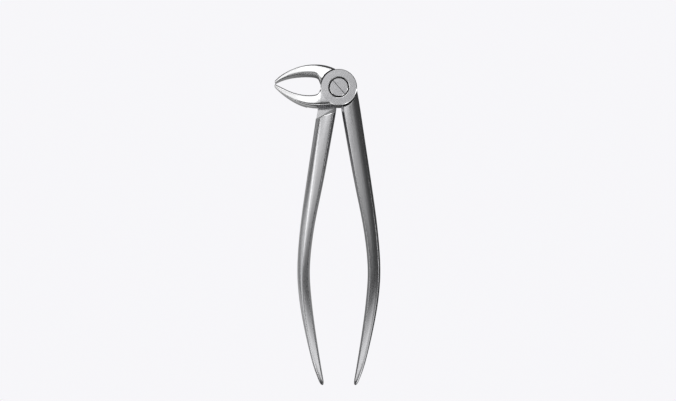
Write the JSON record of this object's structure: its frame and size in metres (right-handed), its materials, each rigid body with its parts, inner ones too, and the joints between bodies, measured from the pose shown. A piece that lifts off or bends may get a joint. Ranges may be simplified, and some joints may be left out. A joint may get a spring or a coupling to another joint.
{
  "type": "extraction forceps",
  "caption": "Dental extraction forceps with crossing levers on a slotted pivot screw, bowed handles and hollowed beaks that curve off at right angles to the handles.",
  "frame": {"origin": "on the pivot axis, in the plane the instrument lies on: the back of the joint, where the screw ends flush", "axes": "+Z along the pivot axis towards the screw's head, -Y down the handles, -X out along the beaks"},
  "size_m": [0.0514, 0.1549, 0.01],
  "materials": {
    "front_lever": "satin handle and joint, mirror-polished beak",
    "rear_lever": "satin handle and joint, mirror-polished beak",
    "pivot_screw": "ground and lightly polished"
  },
  "bodies": {
    "rear_lever": {"rear_lever": "rear_lever", "pivot_screw": "pivot_screw"},
    "front_lever": {"front_lever": "front_lever"}
  },
  "joints": [
    {"name": "pivot", "type": "hinge", "parent": "rear_lever", "child": "front_lever", "pos_m": [0, 0, 0], "axis": [0, 0, 1], "range_deg": [0, 22]}
  ]
}
